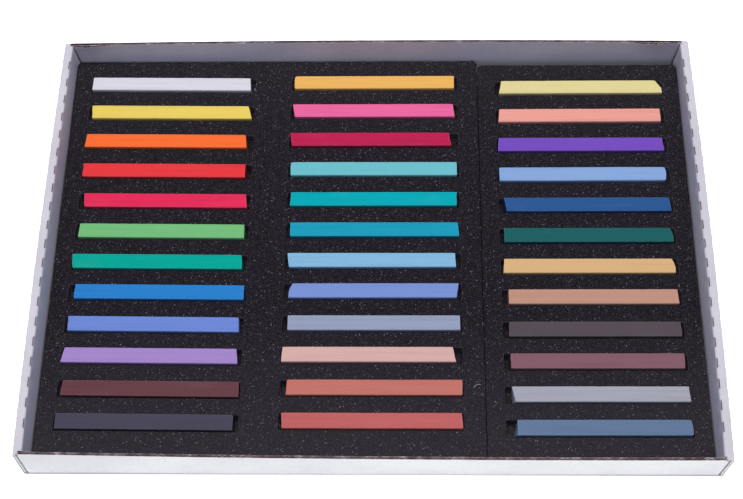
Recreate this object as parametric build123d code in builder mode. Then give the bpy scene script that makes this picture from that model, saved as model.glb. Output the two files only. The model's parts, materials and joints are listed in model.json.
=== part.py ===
"""Box of square pastel sticks, in millimetres.

A shallow tray folded from fluted board holds two foam inserts side by side. The wide insert has two
columns of slots, the narrow one a single column, and each slot holds one stick that stands a little proud
of the foam.
+X runs along the tray, +Y towards its rear wall, +Z up, and the origin is under the middle of the floor.
The tray is one blank: it is divided here at its creases, one flat panel to a piece.
"""

import os
from math import cos, radians, sin

from build123d import *

# Sticks
stick_length = 75.0  # nominal, every stick is broken off a little shorter or longer
stick_width = 7.0
stick_edge_radius = 0.4

# Slots in the foam
row_count = 12
slot_end_clearance = 0.3  # beyond the end that reaches furthest
slot_side_play = 0.35
row_web = 7.66
column_web = 16.7
side_margin = 7.6
wide_seam_margin = 9.1
narrow_seam_margin = 7.9
rear_margin = 10.15
front_margin = 11.5
left_column_turn = -0.5  # degrees, the left column's slots were cut slightly out of square
right_column_turn = 0.1

# How much nearer to the rear wall than even spacing puts them a column's slots lie, and then each row of
# slots, rear row first
left_column_drift = -0.3
middle_column_drift = 0.4
right_column_drift = -0.1
row_drifts = (1.0, 0.7, 0.4, 0.0, -0.4, -0.6, -0.6, -0.2, -0.3, 0.2, 0.4, 0.8)

# Foam layers and the play of the inserts in the tray
base_layer = 2.8
slotted_layer = 5.7
foam_play = 0.3
seam_gap = 0.5
insert_slack = 2.4  # the narrow insert lies this much nearer to the front than the wide one

# Tray of fluted board
tray_height = 22.3
board = 1.2
ply_play = 0.1
fold_radius = 0.8
corner_flap_length = 46.0
tab_width = 22.0
tab_spacing = 116.0
tab_play = 0.15
tab_recess = 0.2  # how far the tabs stay above the tray's underside

# One stick to a slot, rear row first: name, how far its left end and its right end reach beyond half the
# nominal length from the slot's middle, slant of the left end and of the right end. A slant is how much
# further the near edge reaches than the far edge; a negative one has the far edge longer.
left_column = [
    ("white", 1.0, -0.5, 0.3, 0.5),
    ("yellow", 0.1, 0.7, -0.7, 2.0),
    ("orange", 1.5, -1.0, 0.7, 0.8),
    ("red", 1.0, -1.0, 0.1, -0.1),
    ("crimson", -0.8, 0.8, -0.8, 0.9),
    ("light_green", -0.2, 0.1, 0.3, 0.1),
    ("emerald", 1.5, 0.1, -0.8, 0.7),
    ("blue", -1.3, 1.5, 0.2, 0.1),
    ("periwinkle", 0.1, 0.2, -0.3, 0.5),
    ("lilac", 1.5, 0.3, 1.5, 0.8),
    ("brown", -0.2, 1.5, 0.6, 0.1),
    ("charcoal", 0.9, -0.3, -0.2, 0.1),
]
middle_column = [
    ("golden_yellow", 0.4, 0.2, 0.2, -0.1),
    ("pink", 0.8, 0.2, -1.3, 0.9),
    ("carmine", 1.5, -1.5, -1.1, 1.3),
    ("turquoise", 0.7, 0.8, 0.1, 0.1),
    ("sea_teal", 0.3, 0.5, 0.4, -0.2),
    ("cyan_blue", -0.2, 1.3, -0.1, 0.6),
    ("pale_blue", 0.6, -0.4, -1.0, 0.4),
    ("blue_violet", -0.5, 0.7, 2.0, -1.2),
    ("grey_blue", -0.6, 1.0, 0.2, 0.2),
    ("pale_pink", 1.5, -1.0, 0.6, 1.6),
    ("terracotta", -1.0, 1.4, 0.5, -0.1),
    ("brick_rose", 0.5, 1.5, -0.4, 0.8),
]
right_column = [
    ("pale_yellow", 0.1, 1.5, 1.4, 2.4),
    ("salmon", 0.8, -0.3, 0.7, 0.1),
    ("violet", 1.5, 0.0, 0.7, 0.6),
    ("light_blue", 1.2, -0.1, -0.2, 0.1),
    ("dark_blue", -0.5, 0.8, -1.3, 0.8),
    ("dark_green", 0.0, 0.5, 0.1, 1.6),
    ("ochre", 0.9, 0.2, 0.7, 1.4),
    ("tan", -1.1, 0.4, -0.1, 0.5),
    ("taupe", -0.6, 0.2, 0.4, 0.1),
    ("mauve", -1.0, 0.3, -0.1, -0.1),
    ("light_grey", -1.0, 1.4, -0.4, 0.5),
    ("slate_blue", -1.0, 1.5, 1.9, 0.6),
]

# Sizes that follow
all_sticks = left_column + middle_column + right_column
furthest_reach = max(reach for stick in all_sticks for reach in stick[1:3])
slot_length = stick_length + 2 * (furthest_reach + slot_end_clearance)
slot_width = stick_width + 2 * slot_side_play
row_pitch = slot_width + row_web
column_pitch = slot_length + column_web
wide_width = side_margin + slot_length + column_pitch + wide_seam_margin
narrow_width = narrow_seam_margin + slot_length + side_margin
insert_depth = rear_margin + (row_count - 1) * row_pitch + slot_width + front_margin
inner_length = wide_width + seam_gap + narrow_width + 2 * foam_play
inner_depth = insert_depth + insert_slack + 2 * foam_play
side_wall = 3 * board + 2 * ply_play
tray_length = inner_length + 2 * side_wall
tray_depth = inner_depth + 2 * board
rim_underside = tray_height - board
slots_bottom = board + base_layer

# Where the inserts lie
wide_left = foam_play - inner_length / 2
wide_rear = inner_depth / 2 - foam_play
narrow_left = wide_left + wide_width + seam_gap
narrow_rear = insert_depth + foam_play - inner_depth / 2

# Each column: its sticks, the middle of its slots in x, the rear edge of its insert, its drift and its turn
left_middle = wide_left + side_margin + slot_length / 2
right_middle = narrow_left + narrow_seam_margin + slot_length / 2
columns = {
    "left": (left_column, left_middle, wide_rear, left_column_drift, left_column_turn),
    "middle": (middle_column, left_middle + column_pitch, wide_rear, middle_column_drift, 0.0),
    "right": (right_column, right_middle, narrow_rear, right_column_drift, right_column_turn),
}


def slot_centre(column, row):
    """Middle of a slot in x and y, rows counted from the rear."""
    _, middle, rear, column_drift, _ = columns[column]
    first_row = rear - rear_margin - slot_width / 2
    return middle, first_row - row * row_pitch + column_drift + row_drifts[row]


def slot_locations(column):
    """Places of all slots of a column on the plane that cuts them."""
    turn = columns[column][-1]
    return [Location((*slot_centre(column, row), 0), (0, 0, turn)) for row in range(row_count)]


def keep(piece, name):
    """Name a finished piece and write it as a STEP file."""
    piece.part.label = name
    export_step(piece.part, f"parts/{name}.step")


def slab(x_span, y_span, z_span):
    """Flat rectangular piece between two limits in x, y and z."""
    low_x, high_x = x_span
    low_y, high_y = y_span
    low_z, high_z = z_span
    with BuildPart() as piece:
        with BuildSketch(Plane.XY.offset(low_z)):
            with Locations(((low_x + high_x) / 2, (low_y + high_y) / 2)):
                Rectangle(high_x - low_x, high_y - low_y)
        extrude(amount=high_z - low_z)
    return piece


def tab_places(side):
    """Middles of the two lock tabs of one side wall, side -1 for left and 1 for right."""
    x = side * (tray_length / 2 - side_wall + board / 2)
    return [(x, -tab_spacing / 2), (x, tab_spacing / 2)]


def build_floor():
    """Bottom panel, rounded where the four walls fold up, with slots for the side walls' lock tabs."""
    with BuildPart() as piece:
        with BuildSketch(Plane.XY):
            Rectangle(tray_length, tray_depth)
        extrude(amount=board)
        fillet(piece.faces().sort_by(Axis.Z)[0].edges(), fold_radius)
        with BuildSketch(Plane.XY):
            with Locations(*tab_places(-1), *tab_places(1)):
                Rectangle(board + 2 * tab_play, tab_width + 2 * tab_play)
        extrude(amount=board, mode=Mode.SUBTRACT)
    return piece


def build_end_wall(side):
    """Single front wall (side -1) or rear wall (side 1), raw on top and folded at both ends into its flaps."""
    with BuildPart() as piece:
        with BuildSketch(Plane.XY.offset(board)):
            with Locations((0, side * (tray_depth / 2 - board / 2))):
                Rectangle(tray_length - 2 * (board + ply_play), board)
        extrude(amount=tray_height - board)
        outer_face = piece.faces().sort_by(Axis.Y)[0 if side < 0 else -1]
        fillet(outer_face.edges().filter_by(Axis.Z), fold_radius)
    return piece


def build_outer_side(side):
    """Outer panel of a rolled side wall."""
    x_span = sorted((side * tray_length / 2, side * (tray_length / 2 - board)))
    return slab(x_span, (-tray_depth / 2, tray_depth / 2), (board, rim_underside))


def build_rim(side):
    """Band over a rolled side wall, rounded along both creases and notched at the ends for the end walls."""
    notch_width = side_wall - board
    notch_depth = board + ply_play
    notch_x = side * (tray_length / 2 - board - notch_width / 2)
    notch_y = (tray_depth - notch_depth) / 2
    with BuildPart() as piece:
        with BuildSketch(Plane.XY.offset(rim_underside)):
            with Locations((side * (tray_length - side_wall) / 2, 0)):
                Rectangle(side_wall, tray_depth)
            with Locations((notch_x, -notch_y), (notch_x, notch_y)):
                Rectangle(notch_width, notch_depth, mode=Mode.SUBTRACT)
        extrude(amount=board)
        creases = piece.faces().sort_by(Axis.Z)[-1].edges().filter_by(Axis.Y).sort_by(Axis.X)
        fillet((creases[0], creases[-1]), fold_radius)
    return piece


def build_inner_side(side):
    """Inner panel of a rolled side wall, locked into the floor by two tabs."""
    with BuildPart() as piece:
        with BuildSketch(Plane.XY.offset(board)):
            with Locations((side * (inner_length + board) / 2, 0)):
                Rectangle(board, inner_depth - 2 * ply_play)
        extrude(amount=rim_underside - board)
        with BuildSketch(Plane.XY.offset(tab_recess)):
            with Locations(*tab_places(side)):
                Rectangle(board, tab_width)
        extrude(amount=board - tab_recess)
    return piece


def build_corner_flap(side, end):
    """Flap folded back from an end wall into a rolled side wall; end is -1 at the front and 1 at the rear."""
    outer_x = tray_length / 2 - board - ply_play
    x_span = sorted((side * outer_x, side * (outer_x - board)))
    y_span = sorted((end * inner_depth / 2, end * (inner_depth / 2 - corner_flap_length)))
    return slab(x_span, y_span, (board, rim_underside))


def build_slotted_layer(left, width, rear, column_names):
    """Upper foam layer of an insert with one through slot for each stick."""
    with BuildPart() as piece:
        with BuildSketch(Plane.XY.offset(slots_bottom)):
            with Locations((left + width / 2, rear - insert_depth / 2)):
                Rectangle(width, insert_depth)
            for name in column_names:
                with Locations(*slot_locations(name)):
                    Rectangle(slot_length, slot_width, mode=Mode.SUBTRACT)
        extrude(amount=slotted_layer)
    return piece


def build_base_layer(left, width, rear):
    """Plain lower foam layer of an insert, which the sticks lie on."""
    return slab((left, left + width), (rear - insert_depth, rear), (board, slots_bottom))


def build_stick(column, row, left_reach, right_reach, left_slant, right_slant):
    """Square stick lying in its slot, its two ends broken off at their own slants."""
    turn = radians(columns[column][-1])
    direction = (cos(turn), sin(turn), 0)
    centre = (*slot_centre(column, row), slots_bottom)
    edge = stick_width / 2
    left_end = -(stick_length / 2 + left_reach)
    right_end = stick_length / 2 + right_reach
    with BuildPart() as piece:
        with BuildSketch(Plane(origin=centre, x_dir=direction, z_dir=(0, 0, 1))):
            with BuildLine():
                Polyline(
                    (left_end + max(left_slant, 0), edge),
                    (right_end - max(right_slant, 0), edge),
                    (right_end + min(right_slant, 0), -edge),
                    (left_end - min(left_slant, 0), -edge),
                    close=True,
                )
            make_face()
        extrude(amount=stick_width)
        fillet(piece.edges(), stick_edge_radius)
    return piece


os.makedirs("parts", exist_ok=True)

keep(build_floor(), "floor_panel")
for end_name, end_side in (("front", -1), ("rear", 1)):
    keep(build_end_wall(end_side), f"{end_name}_wall")
for side_name, x_side in (("left", -1), ("right", 1)):
    keep(build_outer_side(x_side), f"{side_name}_outer_wall")
    keep(build_inner_side(x_side), f"{side_name}_inner_wall")
    keep(build_rim(x_side), f"{side_name}_rim")
    for end_name, end_side in (("front", -1), ("rear", 1)):
        keep(build_corner_flap(x_side, end_side), f"{end_name}_{side_name}_flap")

keep(build_base_layer(wide_left, wide_width, wide_rear), "wide_foam_base")
keep(build_slotted_layer(wide_left, wide_width, wide_rear, ("left", "middle")), "wide_foam_slotted")
keep(build_base_layer(narrow_left, narrow_width, narrow_rear), "narrow_foam_base")
keep(build_slotted_layer(narrow_left, narrow_width, narrow_rear, ("right",)), "narrow_foam_slotted")

for column_name in columns:
    for row_number, (stick_name, *reaches_and_slants) in enumerate(columns[column_name][0]):
        stick = build_stick(column_name, row_number, *reaches_and_slants)
        keep(stick, f"stick_{stick_name}")
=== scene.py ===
"""Studio view of an open fluted-board tray with two black foam inserts and square pastel sticks.

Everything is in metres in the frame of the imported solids: +X along the tray, +Y to its rear wall, +Z up.
"""

import json
import math
import random

import bpy
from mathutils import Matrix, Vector, noise


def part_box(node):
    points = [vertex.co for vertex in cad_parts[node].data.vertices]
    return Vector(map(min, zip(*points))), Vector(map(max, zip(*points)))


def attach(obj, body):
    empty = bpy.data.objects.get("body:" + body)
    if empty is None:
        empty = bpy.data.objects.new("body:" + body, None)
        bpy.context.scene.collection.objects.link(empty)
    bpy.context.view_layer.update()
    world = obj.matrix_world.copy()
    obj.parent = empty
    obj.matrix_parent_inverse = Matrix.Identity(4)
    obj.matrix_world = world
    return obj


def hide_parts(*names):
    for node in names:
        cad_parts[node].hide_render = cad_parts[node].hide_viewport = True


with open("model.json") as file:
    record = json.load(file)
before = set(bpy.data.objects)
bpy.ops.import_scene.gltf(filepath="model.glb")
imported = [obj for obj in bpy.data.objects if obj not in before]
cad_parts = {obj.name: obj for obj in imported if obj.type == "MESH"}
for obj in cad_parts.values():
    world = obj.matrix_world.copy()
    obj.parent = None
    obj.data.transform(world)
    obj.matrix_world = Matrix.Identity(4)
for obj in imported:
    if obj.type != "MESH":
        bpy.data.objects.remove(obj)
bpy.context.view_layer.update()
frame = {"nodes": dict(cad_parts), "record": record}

MM = 0.001

# Camera fitted to the sticks' ends and the rim's corners, place in metres and turn in radians
FOCAL_PIXELS = 1448.2
PHOTO_WIDTH = 743
SENSOR_WIDTH = 36.0
CAMERA_PLACE = (0.0134, -0.2913, 0.5869)
CAMERA_TURN = (0.46704, 0.01992, 0.00969)

# Board
FOLD_RADIUS = 0.9 * MM
LINER = 0.2 * MM
GROOVE_DEPTH = 1.6 * MM
FLUTE_PITCH = 2.4 * MM
FLUTE_THICKNESS = 0.22 * MM
FLUTE_SWING = 0.2 * MM
SPREAD_DEPTH = 2.2 * GROOVE_DEPTH  # how deep the liners part where a raw edge is open
END_BEND_RADIUS = 1.25 * MM
CUT_ROUNDING = 0.25 * MM  # at the cut ends of the side walls
FLAP_CLEARANCE = 0.02 * MM
FOLD_STEPS = 6
PANEL_WAVE = 0.12 * MM
FRONT_SPREAD = 0.1 * MM  # of the liners at the raw top edges, as is the next
REAR_SPREAD = 0.12 * MM
EDGE_RAGGED = 0.1 * MM
FLUTE_DROP = 0.12 * MM
FLUTE_RAGGED = 0.16 * MM

# Perforated creases of the rolled side walls
SLIT_PITCH = 9.35 * MM
SLIT_LENGTH = 4.1 * MM
SLIT_RAMP = 0.35 * MM
SLIT_DEPTH = 0.28 * MM
OUTER_SLIT_DEPTH = 0.3 * MM
SLIT_COUNT = 20
FIRST_SLIT_Y = 90.0 * MM
CREASE_BULGE = 0.1 * MM

# How far the tops of the walls lean outwards at three places each
LEFT_LEAN = (0.5 * MM, 1.1 * MM, -0.2 * MM)  # front, middle, rear
RIGHT_LEAN = (0.8 * MM, 1.5 * MM, 0.0)
FRONT_LEAN = (-1.3 * MM, 0.4 * MM, 0.5 * MM)  # left, middle, right
REAR_LEAN = (0.6 * MM, 1.9 * MM, 1.0 * MM)
LEAN_CURVE = 1.4
LEAN_REACH = 4

# Where the rear wall's raw edge was crushed open: middle in x, width and how far
CRUSHED = ((-136 * MM, 8 * MM, 1.0 * MM), (131 * MM, 8 * MM, 0.9 * MM))

# How far the rim reaches inwards over the corners of the end walls: (side, end), -1 for left and front
RIM_REACH = {(-1, -1): 2.2 * MM, (1, -1): 3.0 * MM, (-1, 1): 2.6 * MM, (1, 1): 3.1 * MM}

# Gap between the rolled walls and the end walls, how the inner panels curl inwards there, and how far the
# painted shade strip runs along their rear ends
CORNER_GAP = 0.4 * MM
CORNER_FLARE = 1.8 * MM
CORNER_FLARE_RUN = 3.0 * MM
CORNER_SHADE_RUN = 0.7 * MM

# Foam
FOAM_CELL = 1.4 * MM
FOAM_EDGE_RADIUS = 0.35 * MM
FOAM_ROUGHNESS = 0.13 * MM
FOAM_SWELL = 0.12 * MM
FOAM_EDGE_WANDER = 0.1 * MM
FOAM_CORNER = 0.7 * MM  # how far the rear corners are cut back
SEAM_CLOSING = 0.17 * MM
TURN_FADE = 7 * MM
EDGE_FADE = 8 * MM

# Material slots of the board walls and of the foam inserts
PAPER, KRAFT, END_EDGE, CUT_LINER, SLIT_AND_SHADE = range(5)
FOAM_FACE, POCKET_WALL_PAINTED_LIGHT = range(2)

_, floor_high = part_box("floor_panel")
rim_low, rim_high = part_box("left_rim")
_, front_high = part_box("front_wall")
flap_low, flap_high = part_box("front_left_flap")
HALF_LENGTH = floor_high.x
HALF_DEPTH = floor_high.y
HEIGHT = rim_high.z
BOARD = floor_high.z
SIDE_WALL = rim_high.x - rim_low.x
END_WALL_REACH = front_high.x
FLAP_LENGTH = flap_high.y - flap_low.y
FLAP_TOP = flap_high.z
FOAM_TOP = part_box("wide_foam_slotted")[1].z


def three_point(values, position):
    """Smooth curve through three values at positions -1, 0 and 1."""
    low, middle, high = values
    slope = (high - low) / 2
    bend = (high + low) / 2 - middle
    return middle + slope * position + bend * position * position


def lean(point):
    """The folded tray's walls spread a little towards their tops."""
    x, y, z = point
    share = max(z / HEIGHT, 0.0) ** LEAN_CURVE
    across = x / HALF_LENGTH
    along = y / HALF_DEPTH
    side_values = LEFT_LEAN if x < 0 else RIGHT_LEAN
    end_values = FRONT_LEAN if y < 0 else REAR_LEAN
    x += math.copysign(1.0, x) * three_point(side_values, along) * abs(across) ** LEAN_REACH * share
    y += math.copysign(1.0, y) * three_point(end_values, across) * abs(along) ** LEAN_REACH * share
    return Vector((x, y, z))


def evenly(low, high, count):
    """Evenly spaced values from low to high, both included."""
    return [low + (high - low) * step / (count - 1) for step in range(count)]


def wander(x, y, z, size, seed):
    """Gentle noise between about -1 and 1 over features of a given size."""
    return noise.noise(Vector((x / size + seed * 7.3, y / size - seed * 3.1, z / size + seed)))


def make_object(name, points, faces, materials, face_slots, corner_angle=35.0, uvs=None):
    """Mesh object from points and faces, shaded smooth up to a corner angle."""
    mesh = bpy.data.meshes.new(name)
    mesh.from_pydata([tuple(p) for p in points], [], faces)
    for material in materials:
        mesh.materials.append(material)
    mesh.polygons.foreach_set("material_index", face_slots)
    if uvs is not None:
        layer = mesh.uv_layers.new(name="edge")
        for loop in mesh.loops:
            layer.data[loop.index].uv = uvs[loop.vertex_index]
    mesh.validate()
    mesh.shade_smooth()
    mesh.set_sharp_from_angle(angle=math.radians(corner_angle))
    made = bpy.data.objects.new(name, mesh)
    bpy.context.scene.collection.objects.link(made)
    return made


def ring_quads(base, rows, count, flip):
    """Quads that join closed rings of points, each ring following the one before it."""
    quads = []
    for row in range(rows):
        for column in range(count):
            first = base + row * count + column
            second = base + row * count + (column + 1) % count
            quad = (first, second, second + count, first + count)
            quads.append(quad[::-1] if flip else quad)
    return quads


def ring_cap(start, count, flip):
    """One face over a ring of points."""
    cap = list(range(start, start + count))
    return cap[::-1] if flip else cap


# ---- materials


def plug(tree, value, socket):
    """Set a socket to a number, a place or a colour, or link it to another node's output."""
    if isinstance(value, (int, float)):
        socket.default_value = value
    elif isinstance(value, tuple):
        socket.default_value = (*value, 1.0) if socket.type == "RGBA" else value
    else:
        tree.links.new(value, socket)


def add_node(tree, kind, inputs=()):
    """New shader node whose inputs, found by name or number, are set or linked."""
    node = tree.nodes.new(f"ShaderNode{kind}")
    for key, value in dict(inputs).items():
        plug(tree, value, node.inputs[key])
    return node


class Surface:
    """A principled material with short ways to add the nodes it needs."""

    def __init__(self, name, roughness, specular=0.5):
        self.material = bpy.data.materials.new(name)
        self.material.use_nodes = True
        self.tree = self.material.node_tree
        self.shader = self.tree.nodes["Principled BSDF"]
        self.rough(roughness)
        self.shade("Specular IOR Level", specular)
        self.coordinates = self.add("TexCoord").outputs["Object"]

    def add(self, kind, inputs=()):
        return add_node(self.tree, kind, inputs)

    def shade(self, name, value):
        """Set or link an input of the principled shader."""
        plug(self.tree, value, self.shader.inputs[name])

    def colour(self, value):
        self.shade("Base Color", value)

    def rough(self, value):
        self.shade("Roughness", value)

    def part(self, vector, axis):
        """One component of a vector."""
        return self.add("SeparateXYZ", {"Vector": vector}).outputs[axis]

    def edge_share(self):
        """The value that the mesh carries in its edge layer."""
        node = self.add("UVMap")
        node.uv_map = "edge"
        return self.part(node.outputs["UV"], "X")

    def noise(self, scale, detail=3.0, stretch=(1, 1, 1)):
        place = self.add("Mapping", {"Scale": stretch, "Vector": self.coordinates}).outputs["Vector"]
        return self.add("TexNoise", {"Scale": scale, "Detail": detail, "Vector": place}).outputs["Fac"]

    def cell_node(self, scale):
        return self.add("TexVoronoi", {"Scale": scale, "Vector": self.coordinates})

    def cells(self, scale):
        return self.cell_node(scale).outputs["Distance"]

    def ramp(self, value, stops):
        node = self.add("ValToRGB", {"Fac": value})
        elements = node.color_ramp.elements
        while len(elements) < len(stops):
            elements.new(0.5)
        for element, (position, colour) in zip(elements, stops):
            element.position = position
            element.color = (*colour, 1.0)
        return node.outputs["Color"]

    def grey(self, value, low, high, dark=0.0, light=1.0):
        """Grey from dark to light while a value goes from low to high."""
        return self.ramp(value, [(low, (dark,) * 3), (high, (light,) * 3)])

    def mix(self, first, second, amount, mode="MIX"):
        node = self.add("Mix")
        node.data_type = "RGBA"
        node.blend_type = mode
        for value, index in ((amount, 0), (first, 6), (second, 7)):
            plug(self.tree, value, node.inputs[index])
        return node.outputs[2]

    def maths(self, operation, first, second=0.0):
        node = self.add("Math", {0: first, 1: second})
        node.operation = operation
        return node.outputs["Value"]

    def bump(self, *layers):
        """Height layers, each with its height in metres at full value."""
        inputs = {"Strength": 1.0}
        for value, height in layers:
            inputs.update({"Distance": height, "Height": value})
            inputs["Normal"] = self.add("Bump", inputs).outputs["Normal"]
        self.shade("Normal", inputs["Normal"])


def linear(red, green, blue):
    """Scene-linear colour from the levels 0 to 255 that a screen shows."""

    def channel(level):
        share = level / 255
        return share / 12.92 if share <= 0.04045 else ((share + 0.055) / 1.055) ** 2.4

    return tuple(channel(level) for level in (red, green, blue))


def paper_material():
    """White coated liner with faint fibres, specks and cloudy soiling."""
    surface = Surface("white_liner", 0.55, 0.25)
    cloud = surface.noise(28, 4)
    fibre = surface.noise(900, 4, (1, 1, 0.25))
    base = surface.mix(linear(203, 200, 209), linear(213, 211, 219), surface.grey(cloud, 0.35, 0.65))
    speckle = surface.grey(surface.noise(2600, 2), 0.66, 0.74)
    base = surface.mix(base, linear(186, 178, 182), surface.maths("MULTIPLY", speckle, 0.25))
    surface.colour(surface.mix(base, linear(200, 195, 203), surface.grey(fibre, 0.52, 0.8, 0.0, 0.5)))
    surface.rough(surface.grey(fibre, 0.3, 0.7, 0.48, 0.66))
    surface.bump((fibre, 0.012 * MM), (surface.noise(160, 2, (1, 1, 0.2)), 0.05 * MM))
    return surface.material


def kraft_material():
    """Unbleached inner paper of the board: the flutes and the insides of the liners."""
    surface = Surface("kraft_medium", 0.85, 0.15)
    blotch = surface.noise(420, 4)
    surface.colour(surface.mix(linear(80, 66, 68), linear(128, 111, 113), surface.grey(blotch, 0.35, 0.7)))
    surface.bump((surface.noise(3000, 3), 0.03 * MM))
    return surface.material


def cut_liner_material():
    """Cut top edges of the liners and flutes: brown fibre with paler torn patches."""
    surface = Surface("cut_liner", 0.8, 0.15)
    blotch = surface.noise(300, 5)
    stops = [
        (0.38, linear(112, 96, 98)),
        (0.53, linear(150, 134, 136)),
        (0.63, linear(180, 165, 167)),
        (0.72, linear(222, 215, 217)),
    ]
    surface.colour(surface.ramp(blotch, stops))
    surface.bump((surface.noise(2500, 3), 0.04 * MM))
    return surface.material


def slit_and_shade_material():
    """Torn brown paper inside the slits of the perforated creases; also painted shade along the inner
    panels' rear ends.
    """
    surface = Surface("slit_paper_and_shade", 0.9, 0.1)
    blotch = surface.noise(500, 3)
    surface.colour(surface.mix(linear(86, 72, 77), linear(128, 112, 117), surface.grey(blotch, 0.35, 0.7)))
    return surface.material


def end_edge_material():
    """Raw vertical edge of a side panel: dark flutes under the outer liner, then pressed white layers."""
    surface = Surface("raw_end_edge", 0.85, 0.15)
    wobble = surface.maths("MULTIPLY", surface.maths("SUBTRACT", surface.noise(700, 3), 0.5), 0.16)
    depth = surface.maths("ADD", surface.edge_share(), wobble)
    layers = [
        (0.02, linear(110, 92, 88)),
        (0.10, linear(58, 44, 42)),
        (0.28, linear(66, 52, 49)),
        (0.36, linear(216, 214, 216)),
        (0.80, linear(222, 220, 222)),
        (0.90, linear(112, 106, 110)),
    ]
    surface.colour(surface.ramp(depth, layers))
    surface.bump((surface.noise(1500, 3), 0.08 * MM))
    return surface.material


def foam_material():
    """Black open-cell foam: dark pores, grey cell walls, lighter towards the front and rear, and painted
    highlights: bright specks on some cells.
    """
    surface = Surface("black_foam", 0.8, 0.08)
    pores = surface.cells(1500)
    grain = surface.noise(2300, 2)
    clump = surface.noise(420, 3)
    base = surface.mix(linear(10, 8, 12), linear(28, 25, 32), surface.grey(pores, 0.12, 0.6))
    base = surface.mix(base, linear(86, 80, 92), surface.grey(grain, 0.53, 0.78, 0.0, 0.9))
    base = surface.mix(base, linear(22, 20, 25), surface.grey(clump, 0.4, 0.62, 0.4, 0.0))
    depth = surface.maths("MULTIPLY", surface.part(surface.coordinates, "Y"), 1 / (2 * HALF_DEPTH))
    along = surface.maths("ADD", depth, 0.5)
    # Lighter towards the front and, less, the rear: a ramp over the foam's depth.
    front_rear_lightening = ((0.0, 0.22), (0.35, 0.0), (0.75, 0.01), (1.0, 0.08))
    edge_tone = surface.ramp(along, [(position, (amount,) * 3) for position, amount in front_rear_lightening])
    base = surface.mix(base, linear(84, 79, 88), edge_tone)
    # Painted highlights: bright specks on a few chosen cells stand in for light glinting off the foam.
    for scale, rare, glow in ((1400, 0.87, (158, 154, 167)), (2100, 0.74, (98, 94, 106))):
        cell = surface.cell_node(scale)
        lottery = surface.add("SeparateColor", {"Color": cell.outputs["Color"]})
        painted_glint_cells = surface.grey(lottery.outputs["Red"], rare, 1.0)
        centre = surface.grey(cell.outputs["Distance"], 0.1, 0.4, 1.0, 0.0)
        base = surface.mix(base, linear(*glow), surface.maths("MULTIPLY", painted_glint_cells, centre))
    surface.colour(base)
    surface.rough(surface.grey(grain, 0.3, 0.7, 0.65, 0.9))
    surface.bump((pores, 0.22 * MM), (grain, 0.2 * MM))
    return surface.material


def pocket_painted_light_material():
    """Cut foam on the slots' walls, with painted light: paler than the foam so that the walls read brighter
    in their shade.
    """
    surface = Surface("cut_foam_painted_light", 0.9, 0.08)
    pores = surface.cells(1500)
    surface.colour(surface.mix(linear(50, 45, 53), linear(96, 90, 100), surface.grey(pores, 0.12, 0.7)))
    surface.bump((pores, 0.2 * MM))
    return surface.material


def pastel_material(name, colour, seed):
    """Pressed chalk: streaks, grains, powdery bloom, paler rubbed edges and painted shade on the lower
    sides.
    """
    surface = Surface(name, 0.92, 0.1)
    dark = tuple(c * 0.91 for c in colour)
    pale = tuple(c * 0.92 + 0.05 for c in colour)
    edge_tone = tuple(c * 0.88 + 0.05 for c in colour)
    unmoved = surface.coordinates
    moved = surface.add("Mapping", {"Location": (seed * 0.37, seed * 0.11, 0), "Vector": unmoved})
    surface.coordinates = moved.outputs["Vector"]
    streak = surface.noise(700, 4, (0.035, 1, 1))
    cloud = surface.noise(90, 4, (0.4, 1, 1))
    grain = surface.noise(2400, 2)
    pits = surface.cells(700)
    base = surface.mix(dark, colour, surface.grey(streak, 0.30, 0.50))
    base = surface.mix(base, pale, surface.grey(cloud, 0.55, 0.85, 0.0, 0.45))
    base = surface.mix(base, pale, surface.grey(streak, 0.66, 0.85, 0.0, 0.35))
    base = surface.mix(base, dark, surface.grey(grain, 0.6, 0.75, 0.0, 0.6))
    uneven = surface.maths("MULTIPLY", surface.noise(420, 3), 0.1)
    rub = surface.maths("ADD", surface.edge_share(), uneven)
    base = surface.mix(base, edge_tone, surface.grey(rub, 0.94, 1.04, 0.0, 0.75))
    # Painted shade: the sticks' sides are darkened to about two thirds below roughly 10.3 mm above the
    # table, just over the foam.
    height = surface.maths("MULTIPLY", surface.part(unmoved, "Z"), 1 / (20 * MM))
    painted_side_shade = surface.grey(height, 0.514, 0.534, 0.66, 1.0)
    surface.colour(surface.mix(base, painted_side_shade, 1.0, "MULTIPLY"))
    shallow = surface.grey(pits, 0.03, 0.16)
    surface.bump((streak, 0.03 * MM), (grain, 0.03 * MM), (shallow, 0.04 * MM))
    return surface.material


# ---- tray


def slit_depth(y):
    """1 inside a slit of the creases and 0 between slits, with a short ramp at each end of a slit."""
    index = round((FIRST_SLIT_Y - y) / SLIT_PITCH)
    if not 0 <= index < SLIT_COUNT:
        return 0.0
    distance = abs(FIRST_SLIT_Y - index * SLIT_PITCH - y)
    return min(max((SLIT_LENGTH / 2 + SLIT_RAMP - distance) / SLIT_RAMP, 0.0), 1.0)


def crease_stations():
    """Places along a rolled side wall, close together at the ends of each slit."""
    end = HALF_DEPTH - BOARD - CORNER_GAP
    steps = 30
    stations = {-end, end}
    stations.update(end - CORNER_FLARE_RUN * share for share in (0.2, 0.4, 0.6, 0.8, 1.0))
    stations.update(-end + 2 * end * step / steps for step in range(steps))
    half = 0.5 * SLIT_LENGTH
    reaches = (0.25 * SLIT_LENGTH, half, half + SLIT_RAMP, half + 1.3 * MM)
    for index in range(SLIT_COUNT):
        middle = FIRST_SLIT_Y - index * SLIT_PITCH
        for reach in reaches:
            stations.update((middle - reach, middle + reach))
    return sorted(stations)


def outer_fold():
    """Quarter turn of a rim's outer fold: inward distances and heights."""
    fold = []
    for step in range(1, FOLD_STEPS + 1):
        angle = math.pi / 2 * step / FOLD_STEPS
        fold.append((FOLD_RADIUS * (1 - math.cos(angle)), HEIGHT - FOLD_RADIUS * (1 - math.sin(angle))))
    return fold


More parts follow.
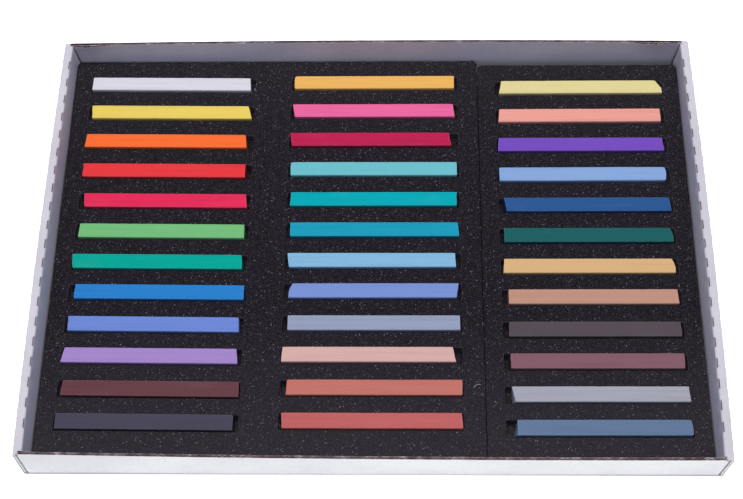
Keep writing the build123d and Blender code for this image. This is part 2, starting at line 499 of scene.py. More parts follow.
def rolled_profile():
    """Closed outline of a rolled side wall: inward distance, height, and which crease a point belongs to."""
    levels = 7
    fold_start = HEIGHT - FOLD_RADIUS
    inside = SIDE_WALL - BOARD
    under = HEIGHT - BOARD
    outline = [(0.0, z, None) for z in evenly(BOARD, fold_start, levels)]
    outline += [(inward, z, "outer") for inward, z in outer_fold()]
    outline.append((SIDE_WALL / 2, HEIGHT, None))
    outline.append((SIDE_WALL - FOLD_RADIUS - 0.35 * MM, HEIGHT, None))
    for step in range(FOLD_STEPS + 1):
        angle = math.pi / 2 * step / FOLD_STEPS
        inward = SIDE_WALL - FOLD_RADIUS * (1 - math.sin(angle))
        outline.append((inward, HEIGHT - FOLD_RADIUS * (1 - math.cos(angle)), "inner"))
    outline += [(SIDE_WALL, z, None) for z in evenly(fold_start, BOARD, levels)[1:]]
    hollow = ((inside, BOARD), (inside, under), (BOARD, under), (BOARD, BOARD))
    return outline + [(inward, z, None) for inward, z in hollow]


def side_point(side, inward, y, z):
    """Point of a side wall at a distance inwards from its outer face; side is -1 for left, 1 for right."""
    return Vector((side * (HALF_LENGTH - inward), y, z))


def creased(side, y, point):
    """A point of the rolled outline, cut in at the slits and bulging a little between them."""
    inward, z, crease = point
    cut = slit_depth(y)
    bulge = CREASE_BULGE * (1 - cut) * (0.7 + 0.6 * wander(y, 0, 0, 6 * MM, side))
    if crease == "inner":
        push = SLIT_DEPTH * cut - bulge
        inward -= push
        z -= max(push, 0.0) * 0.5
    elif crease == "outer":
        push = OUTER_SLIT_DEPTH * cut - bulge
        inward += push * 0.8
        z -= max(push, 0.0) * 0.5
    inward += PANEL_WAVE * wander(y, 0, z, 17 * MM, 3 + side)
    if inward > SIDE_WALL - BOARD - 0.3 * MM and z < HEIGHT - BOARD:
        inward += corner_flare(y, z)
    return side_point(side, inward, y, z)


def corner_flare(y, z):
    """How far an inner panel's rear end curls inwards at the rear wall, most at the foam's level."""
    run = max(1 - (HALF_DEPTH - BOARD - CORNER_GAP - y) / CORNER_FLARE_RUN, 0.0)
    height = min(max((HEIGHT - z) / (HEIGHT - FOAM_TOP), 0.0), 1.0)
    return CORNER_FLARE * run * run * height


def on_inner_face(first, second):
    """Whether both points of the rolled outline lie on the inner panel's face towards the tray."""
    reach = SIDE_WALL - 0.01 * MM
    return min(first[0], second[0]) > reach and min(first[1], second[1]) >= BOARD


def rolled_slot(y, last_y, first, second):
    """Material slot of a face of the rolled outline: a slit's, the painted shade at the inner panel's rear
    end, or plain paper.
    """
    depth = (HEIGHT - first[1]) / FOLD_RADIUS
    in_crease = first[2] == "inner" and second[2] == "inner" and 0.1 < depth < 0.45
    # Painted shade: a dark strip on the inner panel's face just before its rear end, by the gap to the rear
    # wall.
    in_corner_shade = y > last_y - CORNER_SHADE_RUN and on_inner_face(first, second)
    if in_corner_shade or (in_crease and slit_depth(y) > 0.6):
        return SLIT_AND_SHADE
    return PAPER


def build_rolled_side(side, name, materials):
    """Rolled side wall: a folded skin with perforated creases, and the raw end edges of its outer panel."""
    outline = rolled_profile()
    stations = crease_stations()
    count = len(outline)
    rows = len(stations) - 1
    points = []
    uvs = []
    for y in stations:
        for point in outline:
            points.append(lean(creased(side, y, point)))
            uvs.append((point[0] / BOARD, point[1]))
    faces = ring_quads(0, rows, count, side > 0)
    slots = []
    for low_y, high_y in zip(stations, stations[1:]):
        middle = (low_y + high_y) / 2
        for first, second in zip(outline, outline[1:] + outline[:1]):
            slots.append(rolled_slot(middle, stations[-1], first, second))
    for start, flip in ((0, side < 0), (rows * count, side > 0)):
        faces.append(ring_cap(start, count, flip))
        slots.append(KRAFT)
    add_outer_ends(side, stations[-1], points, uvs, faces, slots)
    return make_object(name, points, faces, materials, slots, 30.0, uvs)


def outer_end_outline(reach):
    """Outline of a side wall's outer panel and the strip of rim that runs on over an end wall's corner."""
    levels = 8
    under = HEIGHT - BOARD
    outline = [(0.0, z) for z in evenly(BOARD, HEIGHT - FOLD_RADIUS, levels)]
    outline += outer_fold()
    outline += [(reach - CUT_ROUNDING, HEIGHT), (reach, HEIGHT - CUT_ROUNDING), (reach, under)]
    return outline + [(BOARD, z) for z in evenly(under, BOARD, levels)]


def add_outer_ends(side, start_y, points, uvs, faces, slots):
    """The outer panel and a strip of the rim run on past the notches to the tray's front and rear."""
    rings = ((start_y, 0.0), (HALF_DEPTH - CUT_ROUNDING, 0.0), (HALF_DEPTH, CUT_ROUNDING))
    for end in (-1, 1):
        outline = outer_end_outline(RIM_REACH[(side, end)])
        count = len(outline)
        base = len(points)
        for y, drop in rings:
            for inward, z in outline:
                points.append(lean(side_point(side, inward, end * y, min(z, HEIGHT - drop))))
                uvs.append((inward / BOARD, z))
        outwards = (side < 0) == (end > 0)
        faces += ring_quads(base, 2, count, not outwards)
        slots += [PAPER] * (2 * count)
        faces.append(ring_cap(base + 2 * count, count, outwards))
        slots.append(END_EDGE)


def end_wall_path(end):
    """Outer face of an end wall and its flaps from above: point, inward direction, whether it ends low."""
    outer_x = END_WALL_REACH
    outer_y = HALF_DEPTH
    radius = END_BEND_RADIUS
    flap_steps = 8
    turns = 7
    path = []
    for side in (-1, 1):
        half = []
        for step in range(flap_steps):
            y = outer_y - BOARD - FLAP_LENGTH * (1 - step / flap_steps)
            half.append((Vector((side * outer_x, y)), Vector((-side, 0)), True))
        for step in range(turns + 1):
            angle = math.pi / 2 * step / turns
            outward = Vector((side * math.cos(angle), math.sin(angle)))
            centre = Vector((side * (outer_x - radius), outer_y - radius))
            half.append((centre + outward * radius, -outward, True))
        edge = side * (HALF_LENGTH - RIM_REACH[(side, end)])
        limit = abs(edge) + 0.1 * MM
        half = [entry for entry in half if abs(entry[0].x) > limit or entry[0].y < outer_y - radius]
        half.append((Vector((edge, outer_y)), Vector((0, -1)), True))
        half.append((Vector((edge - side * 0.03 * MM, outer_y)), Vector((0, -1)), False))
        if side < 0:
            path += half
            right_edge = HALF_LENGTH - RIM_REACH[(1, end)]
            steps = round((right_edge - edge) / FLUTE_PITCH)
            for x in evenly(edge, right_edge, steps + 1)[1:-1]:
                path.append((Vector((x, outer_y)), Vector((0, -1)), False))
        else:
            path += reversed(half)
    return [(Vector((p.x, end * p.y)), Vector((n.x, end * n.y)), low) for p, n, low in path]


def opened(x, end):
    """Extra spread of the two liners at a raw top edge, most where the rear wall's was crushed open."""
    if end < 0:
        return FRONT_SPREAD * max(wander(x, 0, 0, 14 * MM, 5), 0.0)
    spread = 0.0
    for centre, width, amount in CRUSHED:
        spread += amount * math.exp(-(((x - centre) / width) ** 2))
    return spread + REAR_SPREAD * max(wander(x, 0, 0, 12 * MM, 9), 0.0)


def end_wall_profile(top):
    """Closed section of a single board wall with a grooved raw edge: inward distance, height, role."""
    levels = 6
    foot = top - GROOVE_DEPTH
    outer = [(0.0, z, "liner") for z in evenly(BOARD, top, levels)]
    groove = [
        (LINER, top, "edge"),
        (LINER, foot, "groove"),
        (BOARD - LINER, foot, "groove"),
        (BOARD - LINER, top, "groove"),
        (BOARD, top, "edge"),
    ]
    return outer + groove + [(BOARD, z, "liner") for z in evenly(top, BOARD, levels)[1:]]


def ragged(x, end, inward, z):
    """Inward distance and height of a section point where the raw top edge is open and uneven."""
    if z > HEIGHT - SPREAD_DEPTH:
        share = (z - (HEIGHT - SPREAD_DEPTH)) / SPREAD_DEPTH
        spread = opened(x, end)
        if inward > BOARD / 2:
            inward += spread * share
            z -= 0.45 * spread * share
        if z > HEIGHT - 0.5 * GROOVE_DEPTH:
            z += EDGE_RAGGED * wander(x, inward, 0, 3 * MM, 11 + end)
    return inward, z


def end_wall_slot(first, second):
    """Material slot of a face between two points of the section, from their roles."""
    pair = (first, second)
    if "groove" in pair:
        return CUT_LINER if pair == ("groove", "edge") else KRAFT
    if "edge" in pair and pair != ("edge", "liner"):
        return CUT_LINER
    return PAPER


def build_end_wall(end, name, materials):
    """Front (end -1) or rear (end 1) wall with flutes in its raw top edge, and both its corner flaps."""
    path = end_wall_path(end)
    roles = [role for _, _, role in end_wall_profile(HEIGHT)]
    count = len(roles)
    rows = len(path) - 1
    points = []
    for place, inward_direction, is_low in path:
        for inward, z, _ in end_wall_profile(FLAP_TOP - FLAP_CLEARANCE if is_low else HEIGHT):
            if not is_low:
                inward, z = ragged(place.x, end, inward, z)
            flat = place + inward_direction * inward
            points.append(lean(Vector((flat.x, flat.y, z))))
    faces = ring_quads(0, rows, count, end < 0)
    slots = [end_wall_slot(*pair) for pair in zip(roles, roles[1:] + roles[:1])] * rows
    for start, flip in ((0, end > 0), (rows * count, end < 0)):
        faces.append(ring_cap(start, count, flip))
        slots.append(KRAFT)
    add_flutes(end, points, faces, slots)
    return make_object(name, points, faces, materials, slots, 40.0)


def add_flutes(end, points, faces, slots):
    """Wavy medium standing in the groove of the raw top edge, pressed towards the inner liner."""
    left = -(HALF_LENGTH - RIM_REACH[(-1, end)]) + 0.3 * MM
    right = HALF_LENGTH - RIM_REACH[(1, end)] - 0.3 * MM
    steps_per_flute = 8
    steps = round((right - left) / FLUTE_PITCH) * steps_per_flute
    inner_limit = BOARD - LINER - FLUTE_THICKNESS / 2
    foot = HEIGHT - GROOVE_DEPTH
    base = len(points)
    for x in evenly(left, right, steps + 1):
        spread = opened(x, end)
        phase = 2 * math.pi * x / FLUTE_PITCH + 1.1 * wander(x, 0, 0, 9 * MM, 21 + end)
        crush = 0.75 + 0.25 * wander(x, 0, 0, 5 * MM, 27 + end)
        middle = inner_limit - FLUTE_SWING + spread * 0.45 + FLUTE_SWING * crush * math.sin(phase)
        top = HEIGHT - FLUTE_DROP - 0.25 * spread + FLUTE_RAGGED * wander(x, 0, 0, 2 * MM, 33 + end)
        half = (FLUTE_THICKNESS + 0.45 * max(spread - 0.2 * MM, 0.0)) / 2
        for offset, z in ((-half, foot), (-half, top), (half, top), (half, foot)):
            points.append(lean(Vector((x, end * (HALF_DEPTH - (middle + offset)), z))))
    for step in range(steps):
        for column in range(3):
            first = base + step * 4 + column
            quad = (first, first + 1, first + 5, first + 4)
            faces.append(quad if end > 0 else quad[::-1])
            slots.append(CUT_LINER if column == 1 else KRAFT)


def build_tray():
    """Floor and four walls of the folded tray."""
    paper = paper_material()
    materials = [paper, kraft_material(), end_edge_material(), cut_liner_material(), slit_and_shade_material()]
    floor = frame["nodes"]["floor_panel"]
    floor.data.materials.clear()
    floor.data.materials.append(paper)
    for side, word in ((-1, "left"), (1, "right")):
        wall = build_rolled_side(side, f"{word}_rolled_wall", materials)
        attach(wall, "tray")
        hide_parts(f"{word}_outer_wall", f"{word}_inner_wall", f"{word}_rim")
    for end, word in ((-1, "front"), (1, "rear")):
        wall = build_end_wall(end, f"{word}_board_wall", materials)
        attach(wall, "tray")
        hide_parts(f"{word}_wall", f"{word}_left_flap", f"{word}_right_flap")


# ---- foam


def slot_corners(node):
    """Corners of a packed foam layer's slots seen from above, taken from the faces at the slots' ends."""
    mesh = frame["nodes"][node].data
    low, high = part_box(node)
    margin = 1 * MM
    found = {}
    for polygon in mesh.polygons:
        corners = [mesh.vertices[index].co for index in polygon.vertices]
        middle = sum(corners, Vector()) / len(corners)
        inside_x = low.x + margin < middle.x < high.x - margin
        inside_y = low.y + margin < middle.y < high.y - margin
        at_slot_end = abs(polygon.normal.z) <= 0.5 <= abs(polygon.normal.x)
        if inside_x and inside_y and at_slot_end:
            for corner in corners:
                found[(round(corner.x, 5), round(corner.y, 5))] = corner
    return sorted(found.values(), key=lambda corner: (round(corner.x, 3), corner.y))


def group_values(values, gap):
    """Sorted values gathered into groups that lie closer together than a gap, as low and high limits."""
    groups = []
    for value in sorted(values):
        if groups and value - groups[-1][1] < gap:
            groups[-1][1] = value
        else:
            groups.append([value, value])
    return groups


def foam_layout(node):
    """Columns and rows of a foam layer's slots, read from its packed corners."""
    corners = slot_corners(node)
    x_groups = group_values([corner.x for corner in corners], 3 * MM)
    columns = []
    for left, right in zip(x_groups[0::2], x_groups[1::2]):
        left_ys = sorted(c.y for c in corners if left[0] - MM < c.x < left[1] + MM)
        right_ys = sorted(c.y for c in corners if right[0] - MM < c.x < right[1] + MM)
        rows = list(zip(left_ys[0::2], left_ys[1::2], right_ys[0::2], right_ys[1::2]))
        columns.append((sum(left) / 2, sum(right) / 2, rows))
    return columns


def fine_steps(low, high, size):
    """Evenly spaced values from low up to but without high, no further apart than a size."""
    count = max(1, math.ceil((high - low) / size))
    return evenly(low, high, count + 1)[:-1]


def foam_marks(low, high, columns):
    """Where slots start and stop in x and in y, between the block's own limits."""
    x_marks = [low.x]
    for left, right, _ in columns:
        x_marks += [left, right]
    rows = columns[0][2]
    half_slot = (rows[0][1] - rows[0][0]) / 2
    y_marks = [low.y]
    for left_low, left_high, right_low, right_high in rows:
        middle = ((left_low + left_high) / 2 + (right_low + right_high) / 2) / 2
        y_marks += [middle - half_slot, middle + half_slot]
    return x_marks + [high.x], y_marks + [high.y]


def grid_steps(marks):
    """Fine steps between marks, and for each step whether it is in a slot, as every second stretch is."""
    steps = []
    in_slot = []
    for index, (start, stop) in enumerate(zip(marks, marks[1:])):
        fine = fine_steps(start, stop, FOAM_CELL)
        steps += fine
        in_slot += [index % 2 == 1] * len(fine)
    return steps + [marks[-1]], in_slot


class FoamGrid:
    """Points and faces of a foam block on a grid, at its top, at the slots' floors and at its bottom."""

    def __init__(self, slotted_node, base_node):
        self.low, self.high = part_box(slotted_node)
        base_low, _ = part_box(base_node)
        self.columns = foam_layout(slotted_node)
        x_marks, y_marks = foam_marks(self.low, self.high, self.columns)
        self.xs, self.in_slot_column = grid_steps(x_marks)
        self.ys, self.in_slot_row = grid_steps(y_marks)
        self.last_column = len(self.xs) - 1
        self.last_row = len(self.ys) - 1
        self.levels = {"top": self.high.z, "pocket": self.low.z, "bottom": base_low.z}
        self.seam_side = 1 if self.low.x + self.high.x < 0 else -1
        self.seam_column = self.last_column if self.seam_side > 0 else 0
        self.points = []
        self.index_of = {}

    def turned(self, x, y):
        """Follow each column's slight turn and offset, fading out towards the block's edges."""
        first_row = self.columns[0][2][0]
        shift = 0.0
        for left, right, rows in self.columns:
            slope = ((rows[0][2] + rows[0][3]) - (rows[0][0] + rows[0][1])) / 2 / (right - left)
            offset = (sum(rows[0]) - sum(first_row)) / 4
            beyond = max(left - x, x - right, 0.0)
            fade = max(1 - beyond / TURN_FADE, 0.0)
            edge = min((y - self.low.y) / EDGE_FADE, (self.high.y - y) / EDGE_FADE, 1.0)
            near_x = min(max(x, left), right)
            shift += (slope * (near_x - (left + right) / 2) + offset) * fade * max(edge, 0.0)
        return y + shift

    def place(self, column, row, level):
        """Where a grid point lies: rough on top, wandering at the edges, cut back at the rear corners."""
        x = self.xs[column]
        y = self.turned(x, self.ys[row])
        z = self.levels[level]
        at_side = column in (0, self.last_column)
        at_end = row in (0, self.last_row)
        if level == "top":
            z += FOAM_ROUGHNESS * wander(x, y, 0, 2.2 * MM, 1) + FOAM_SWELL * wander(x, y, 0, 30 * MM, 2)
            x += FOAM_ROUGHNESS * wander(x, y, z, 2.5 * MM, 4)
            y += FOAM_ROUGHNESS * wander(x, y, z, 2.5 * MM, 6)
        if at_side and row == self.last_row:
            x += FOAM_CORNER if column == 0 else -FOAM_CORNER
            y -= FOAM_CORNER
        if column == self.seam_column and level == "top":
            x += self.seam_side * SEAM_CLOSING
        if (at_side or at_end) and level != "bottom":
            x += FOAM_EDGE_WANDER * wander(x, y, 0, 9 * MM, 8)
            y += FOAM_EDGE_WANDER * wander(x, y, 0, 9 * MM, 10)
        return Vector((x, y, z))

    def vertex(self, column, row, level):
        """Number of a grid point, which is made when it is first asked for."""
        key = (column, row, level)
        if key not in self.index_of:
            self.index_of[key] = len(self.points)
            self.points.append(self.place(column, row, level))
        return self.index_of[key]

    def is_slot(self, column, row):
        inside = 0 <= column < self.last_column and 0 <= row < self.last_row
        return inside and self.in_slot_column[column] and self.in_slot_row[row]

    def upright(self, first, second, start, stop):
        """Face between two grid points from one level to another."""
        corners = ((first, start), (second, start), (second, stop), (first, stop))
        return [self.vertex(*point, level) for point, level in corners]

    def cell_faces(self, column, row):
        """Faces of one grid cell with their material slots: its level face, and any wall of a pocket."""
        level = "pocket" if self.is_slot(column, row) else "top"
        corners = ((column, row), (column + 1, row), (column + 1, row + 1), (column, row + 1))
        made = [([self.vertex(c, r, level) for c, r in corners], FOAM_FACE)]
        if level == "top":
            return made
        for side, (across, along) in enumerate(((0, -1), (1, 0), (0, 1), (-1, 0))):
            if not self.is_slot(column + across, row + along):
                wall = self.upright(corners[side], corners[(side + 1) % 4], "top", "pocket")
                # The pocket's walls take the paler foam with painted light.
                made.append((wall, POCKET_WALL_PAINTED_LIGHT))
        return made

    def outer_faces(self):
        """Upright sides of the block and its underside."""
        rim = [(column, 0) for column in range(self.last_column)]
        rim += [(self.last_column, row) for row in range(self.last_row)]
        rim += [(column, self.last_row) for column in range(self.last_column, 0, -1)]
        rim += [(0, row) for row in range(self.last_row, 0, -1)]
        made = [self.upright(*pair, "bottom", "top") for pair in zip(rim, rim[1:] + rim[:1])]
        made.append([self.vertex(*corner, "bottom") for corner in reversed(rim)])
        return made


def build_foam(name, slotted_node, base_node, materials):
    """Foam insert as one closed block with a pocket for each stick and soft, slightly ragged edges."""
    grid = FoamGrid(slotted_node, base_node)
    faces = []
    slots = []
    for column in range(grid.last_column):
        for row in range(grid.last_row):
            for face, slot in grid.cell_faces(column, row):
                faces.append(face)
                slots.append(slot)
    faces += grid.outer_faces()
    slots += [FOAM_FACE] * (len(faces) - len(slots))
    block = make_object(name, grid.points, faces, materials, slots, 40.0)
    bevel = block.modifiers.new("soft_edges", "BEVEL")
    bevel.width = FOAM_EDGE_RADIUS
    bevel.segments = 2
    bevel.limit_method = "ANGLE"
    bevel.angle_limit = math.radians(50)
    return block


def build_inserts():
    """Both foam inserts, each riding on its own body."""
    materials = [foam_material(), pocket_painted_light_material()]
    for word in ("wide", "narrow"):
        block = build_foam(f"{word}_foam_insert", f"{word}_foam_slotted", f"{word}_foam_base", materials)
        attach(block, f"{word}_insert")
        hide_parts(f"{word}_foam_slotted", f"{word}_foam_base")


# ---- sticks

# Slants that gather at an end's far corner: (stick, end), share of the width where the slant starts, its
# curve and its strength
CORNER_BREAKS = {
    ("stick_pale_yellow", "right"): (0.36, 1.0, 1.35),
    ("stick_ochre", "right"): (0.2, 2.2, 1.0),
    ("stick_dark_green", "right"): (0.2, 2.2, 1.0),
    ("stick_blue_violet", "left"): (0.1, 2.0, 1.0),
    ("stick_yellow", "right"): (0.0, 1.3, 1.0),
}
# Ends with both corners worn round, and how far back
ROUNDED_ENDS = {
    ("stick_light_blue", "right"): 0.8 * MM,
    ("stick_slate_blue", "right"): 0.6 * MM,
    ("stick_golden_yellow", "left"): 0.5 * MM,
    ("stick_turquoise", "left"): 0.4 * MM,
}
# Ends chipped back at their near top corner, and how far
CHIPPED_ENDS = {
    ("stick_slate_blue", "left"): 1.9 * MM,
    ("stick_light_grey", "left"): 1.1 * MM,
}
EDGE_RADIUS = 0.42 * MM
END_ROUGHNESS = 0.2 * MM
END_DIMPLE = 0.18 * MM
CORNER_STEPS = 3
BOW = 0.05 * MM
NIBBLE_SHARE = 0.045  # of the section, taken at the most by a nibble, and by wear at the ends
END_WEAR_SHARE = 0.035
# Shares of a stick's length where its section is repeated, closer together at the ends
STICK_STATIONS = [0.0, 0.004, 0.012, 0.025, 0.045]
STICK_STATIONS += [0.07 + 0.86 * step / 26 for step in range(27)]
STICK_STATIONS += [0.955, 0.975, 0.988, 0.996, 1.0]


def plan_corners(node):
    """Corners of a packed stick's top face: far left, far right, near right, near left."""
    mesh = frame["nodes"][node].data
    _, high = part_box(node)
    top = [v.co.copy() for v in mesh.vertices if v.co.z > high.z - 0.02 * MM]
    middle = sum(top, Vector()) / len(top)
    left = [c for c in top if c.x < middle.x]
    right = [c for c in top if c.x >= middle.x]
    picks = ((max, left), (max, right), (min, right), (min, left))
    return [pick(corners, key=lambda c: c.y) for pick, corners in picks]


def section_ring(width):
    """Rounded square section from the far top corner round, as shares of the width."""
    radius = EDGE_RADIUS / width
    ring = []
    corners = ((0.5, 0.5, 0), (-0.5, 0.5, 90), (-0.5, -0.5, 180), (0.5, -0.5, 270))
    for across, up, start in corners:
        centre_across = math.copysign(0.5 - radius, across)
        centre_up = math.copysign(0.5 - radius, up)
        for step in range(CORNER_STEPS + 1):
            angle = math.radians(start + 90 * step / CORNER_STEPS)
            ring.append((centre_across + radius * math.cos(angle), centre_up + radius * math.sin(angle)))
        direction = math.radians((start + 90) % 360)
        for share in (0.3, 0.65):
            run = (1 - 2 * radius) * share
            side_across = centre_across + radius * math.cos(direction) - run * math.sin(direction)
            side_up = centre_up + radius * math.sin(direction) + run * math.cos(direction)
            ring.append((side_across, side_up))
    return ring


def worn(across, node, end):
    """Share of an end's slant at a place across the stick: straight, or gathered at the far corner."""
    share = min(max(across + 0.5, 0.0), 1.0)
    start, curve, strength = CORNER_BREAKS.get((node, end), (0.0, 1.0, 1.0))
    return strength * max((share - start) / (1 - start), 0.0) ** curve


def rounding(across, node, end):
    """How far an end with worn corners lies back at a place across the stick."""
    beyond = max(abs(across) - 0.32, 0.0) / 0.18
    return ROUNDED_ENDS.get((node, end), 0.0) * beyond * beyond


class StickShape:
    """Shape of one stick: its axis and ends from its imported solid, its wear from its own seed."""

    def __init__(self, node, seed):
        low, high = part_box(node)
        far_left, far_right, near_right, near_left = plan_corners(node)
        self.node = node
        self.seed = seed
        self.width = high.z - low.z
        self.along = (far_right - far_left).normalized()
        self.sideways = Vector((-self.along.y, self.along.x, 0))
        inset = (self.width - (far_left - near_left).dot(self.sideways)) / 2
        self.origin = (far_left + far_right + near_left + near_right) / 4
        self.origin.z = (low.z + high.z) / 2
        picker = random.Random(seed)
        self.ends = {}
        sides = (("left", -1, near_left, far_left), ("right", 1, near_right, far_right))
        for word, outward, near, far in sides:
            near_end = (near - self.origin).dot(self.along) + outward * inset
            far_end = (far - self.origin).dot(self.along) + outward * inset
            tip = picker.uniform(-0.3, 0.3) * MM
            self.ends[word] = (outward, near_end, far_end, tip)

    def end_place(self, across, up, word):
        """How far along the stick an end lies at a place of its section: slanted, broken and chipped."""
        outward, near_end, far_end, tip = self.ends[word]
        key = (self.node, word)
        place = near_end + (far_end - near_end) * worn(across, *key) - outward * rounding(across, *key)
        seed = self.seed if word == "left" else self.seed + 40
        grain = END_ROUGHNESS * wander(across * self.width, up * self.width, 0, 2.1 * MM, seed)
        chip = (0.5 - across) * max(up - 0.1, 0.0) / 0.4
        return place + (grain + tip * (0.5 - up)) - outward * CHIPPED_ENDS.get(key, 0.0) * chip

    def wear(self, share, across, up, distance):
        """Share that is left of the section where nibbles and worn ends take from its long edges."""
        nearest = min(abs(across), abs(up))
        furthest = max(abs(across), abs(up))
        if furthest <= 0.5 - 0.02 or nearest <= 0.5 - 2 * EDGE_RADIUS / self.width:
            return 1.0
        nibble = max(wander(distance, across, up, 2.6 * MM, self.seed + 3) - 0.28, 0.0)
        end_wear = math.exp(-min(share, 1 - share) * 75.0)
        crumble = 0.6 + 0.4 * wander(distance, across, up, 1.2 * MM, self.seed)
        return 1.0 - (NIBBLE_SHARE * nibble + END_WEAR_SHARE * end_wear * crumble)

    def point(self, share, across, up):
        """Point at a share of the stick's length and a place of its section."""
        left = self.end_place(across, up, "left")
        right = self.end_place(across, up, "right")
        distance = left + (right - left) * share
        left_over = self.wear(share, across, up, distance)
        bow = BOW * wander(distance, 0, 0, 28 * MM, self.seed + 9)
        sideways = self.sideways * (across * self.width * left_over + bow)
        upwards = Vector((0, 0, up * self.width * left_over))
        return self.origin + self.along * distance + (sideways + upwards)


def add_stick_end(shape, ring, share, previous, points, uvs, faces):
    """Close a stick's end with shrinking, slightly dimpled rings, from the ring that starts at previous."""
    count = len(ring)
    flip = share == 1.0
    for scale in (0.86, 0.6, 0.3):
        start = len(points)
        for ring_across, ring_up in ring:
            across = ring_across * scale
            up = ring_up * scale
            grain = wander(across * shape.width, up * shape.width, 0, 1.0 * MM, shape.seed + 60)
            points.append(shape.point(share, across, up) + shape.along * (END_DIMPLE * grain))
            uvs.append((0.5, 0.0))
        for column in range(count):
            following = (column + 1) % count
            quad = (previous + column, previous + following, start + following, start + column)
            faces.append(quad[::-1] if flip else quad)
        previous = start
    faces.append(ring_cap(previous, count, flip))


def build_stick(node, seed, material):
    """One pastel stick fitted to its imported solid, with broken ends, worn edges and small chips."""
    shape = StickShape(node, seed)
    ring = section_ring(shape.width)
    count = len(ring)
    rows = len(STICK_STATIONS) - 1
    points = []
    uvs = []
    for share in STICK_STATIONS:
        for across, up in ring:
            points.append(shape.point(share, across, up))
            nearest_edge = 2 * min(abs(across), abs(up))
            nearest_end = 1 - min(share, 1 - share) * 30
            uvs.append((max(nearest_edge, nearest_end), 0.0))
    faces = []
    for row in range(rows):
        for column in range(count):
            first = row * count + column
            second = row * count + (column + 1) % count
            faces.append((first, first + count, second + count, second))
    add_stick_end(shape, ring, 0.0, 0, points, uvs, faces)
    add_stick_end(shape, ring, 1.0, rows * count, points, uvs, faces)
    return make_object(f"pastel_{node}", points, faces, [material], [0] * len(faces), 50.0, uvs)


def build_sticks():
    """Every stick of the record, each with its own colour and wear, riding on its own body."""
    record = frame["record"]
    colours = {entry["slot"]: tuple(entry["base_color"][:3]) for entry in record["materials"]}
    body_of_node = {node: body for body, nodes in record["behaviour"]["bodies"].items() for node in nodes}
    sticks = [entry for entry in record["subparts"] if entry["node"].startswith("stick_")]
    for seed, entry in enumerate(sticks):
        node = entry["node"]
        slot = entry["material_slot"]
        material = pastel_material(f"chalk_{slot}", colours[slot], seed)
        piece = build_stick(node, seed, material)
        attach(piece, body_of_node[node])
        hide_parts(node)


# ---- lint

LINT_REST = 0.22 * MM  # above the foam's flat top
THREAD_RADIUS = 0.08 * MM
# Curled fibre: its middle, radius, first angle and sweep in degrees
CURL_X = 45.6 * MM
CURL_Y = -67.3 * MM
CURL_RADIUS = 2.6 * MM
CURL_START = 158
CURL_SWEEP = 84
CURL_STEPS = 12
# Crumbs: the patch they lie in, in millimetres, and how many
CRUMBS_X = (-57.4, -54.4)
CRUMBS_Y = (83.4, 88.4)
CRUMB_COUNT = 9


def fibre_material():
    """Pale loose fibre and chalk crumbs lying on the foam."""
    surface = Surface("lint", 0.9)
    surface.colour(surface.mix(linear(176, 172, 178), linear(206, 202, 208), surface.noise(900, 2)))
    return surface.material


def add_thread(points, faces, path, radius):
    """Thin round thread along a path of points."""
    sides = 6
    base = len(points)
    for index, place in enumerate(path):
        before = path[max(index - 1, 0)]
        after = path[min(index + 1, len(path) - 1)]
        forward = (after - before).normalized()
        across = forward.cross(Vector((0, 0, 1))).normalized()
        up = across.cross(forward)
        for step in range(sides):
            angle = 2 * math.pi * step / sides
            points.append(place + radius * (across * math.cos(angle) + up * math.sin(angle)))
    rows = len(path) - 1
    faces += ring_quads(base, rows, sides, False)
    faces.append(ring_cap(base, sides, True))
    faces.append(ring_cap(base + rows * sides, sides, False))


def build_lint():
    """A curled fibre and a few crumbs of chalk on the wide insert's foam."""
    rest = FOAM_TOP + LINT_REST
    points = []
    faces = []
    curl = []
    for step in range(CURL_STEPS + 1):
        angle = math.radians(CURL_START - CURL_SWEEP * step / CURL_STEPS)
        x = CURL_X + CURL_RADIUS * math.cos(angle)
        y = CURL_Y + CURL_RADIUS * math.sin(angle)
        curl.append(Vector((x, y, rest)))
    add_thread(points, faces, curl, THREAD_RADIUS)
    picker = random.Random(71)
    for _ in range(CRUMB_COUNT):
        x = picker.uniform(*CRUMBS_X) * MM
        y = picker.uniform(*CRUMBS_Y) * MM
        place = Vector((x, y, rest))
        size = picker.uniform(0.10, 0.20) * MM
        turn = picker.uniform(0, math.pi)
        step = Vector((math.cos(turn), math.sin(turn), 0)) * size
        add_thread(points, faces, [place - step, place, place + step], size * 0.7)
    crumbs = make_object("loose_lint", points, faces, [fibre_material()], [0] * len(faces))
    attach(crumbs, "wide_insert")


# ---- studio


def build_floor():
    """Pale table that looks white from the camera and keeps a faint shadow."""
    reach = 3.0
    points = [(-reach, -reach, 0), (reach, -reach, 0), (reach, reach, 0), (-reach, reach, 0)]
    surface = Surface("white_table", 0.9, 0.0)
    surface.colour((0.86, 0.86, 0.86))
    rays = surface.add("LightPath").outputs
    seen = surface.maths("MAXIMUM", rays["Is Camera Ray"], rays["Is Glossy Ray"])
    seen = surface.maths("MAXIMUM", seen, rays["Is Transmission Ray"])
    glow = surface.add("Emission", {"Color": (1.0, 0.985, 0.94), "Strength": 0.72})
    plain = surface.shader.outputs[0]
    bright = surface.add("AddShader", {0: plain, 1: glow.outputs[0]})
    choose = surface.add("MixShader", {0: seen, 1: plain, 2: bright.outputs[0]})
    plug(surface.tree, choose.outputs[0], surface.tree.nodes["Material Output"].inputs["Surface"])
    floor = make_object("table", points, [(0, 1, 2, 3)], [surface.material], [0])


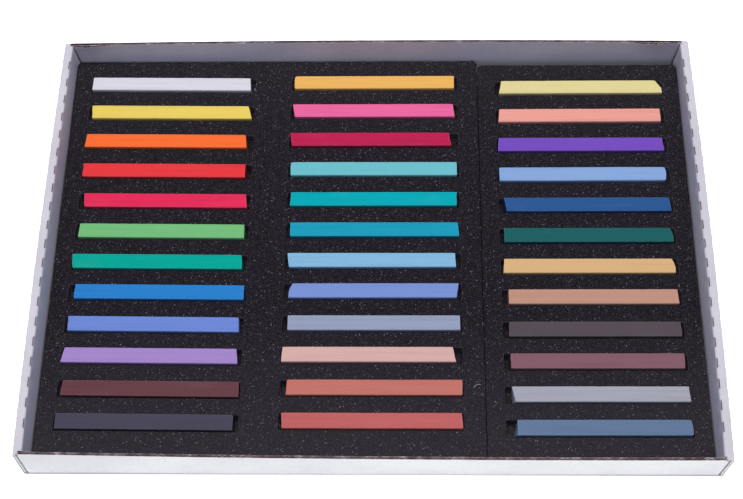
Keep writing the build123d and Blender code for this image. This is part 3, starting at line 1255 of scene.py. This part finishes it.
def add_area_light(name, place, target, size, power, colour):
    """Soft square lamp that the camera doesn't see, turned towards a target."""
    lamp = bpy.data.lights.new(name, "AREA")
    lamp.shape = "SQUARE"
    lamp.size = size
    lamp.energy = power
    lamp.color = colour
    made = bpy.data.objects.new(name, lamp)
    made.location = place
    direction = Vector(target) - Vector(place)
    made.rotation_euler = direction.to_track_quat("-Z", "Y").to_euler()
    made.visible_camera = False
    bpy.context.scene.collection.objects.link(made)


def build_lights():
    """Even white tent: a pale surround, a broad lamp overhead and one at table level for the outer faces."""
    world = bpy.data.worlds.new("tent")
    world.use_nodes = True
    bpy.context.scene.world = world
    tree = world.node_tree
    ambient = tree.nodes["Background"]
    plug(tree, (0.78, 0.86, 1.23), ambient.inputs["Color"])
    plug(tree, 0.33, ambient.inputs["Strength"])
    backdrop = add_node(tree, "Background", {"Color": (1, 1, 1)})
    seen = add_node(tree, "LightPath").outputs["Is Camera Ray"]
    choose = add_node(tree, "MixShader", {0: seen, 1: ambient.outputs[0], 2: backdrop.outputs[0]})
    plug(tree, choose.outputs[0], tree.nodes["World Output"].inputs["Surface"])
    add_area_light("overhead", (0.0, 0.12, 1.98), (0.0, 0.0, 0.0), 0.9, 31.2, (1.0, 0.96, 0.855))
    add_area_light("bright_ground", (0.0, 0.0, 0.0002), (0.0, 0.0, 1.0), 1.6, 9.2, (0.94, 1.0, 0.83))


def build_camera():
    """Camera at the fitted place, with the fitted focal length."""
    data = bpy.data.cameras.new("photograph")
    data.sensor_fit = "HORIZONTAL"
    data.sensor_width = SENSOR_WIDTH
    data.lens = FOCAL_PIXELS * SENSOR_WIDTH / PHOTO_WIDTH
    data.clip_start = 0.01
    camera = bpy.data.objects.new("photograph", data)
    camera.location = CAMERA_PLACE
    camera.rotation_euler = CAMERA_TURN
    bpy.context.scene.collection.objects.link(camera)
    bpy.context.scene.camera = camera


build_camera()
build_tray()
build_inserts()
build_sticks()
build_lint()
build_floor()
build_lights()
bpy.context.scene.view_settings.view_transform = "Standard"
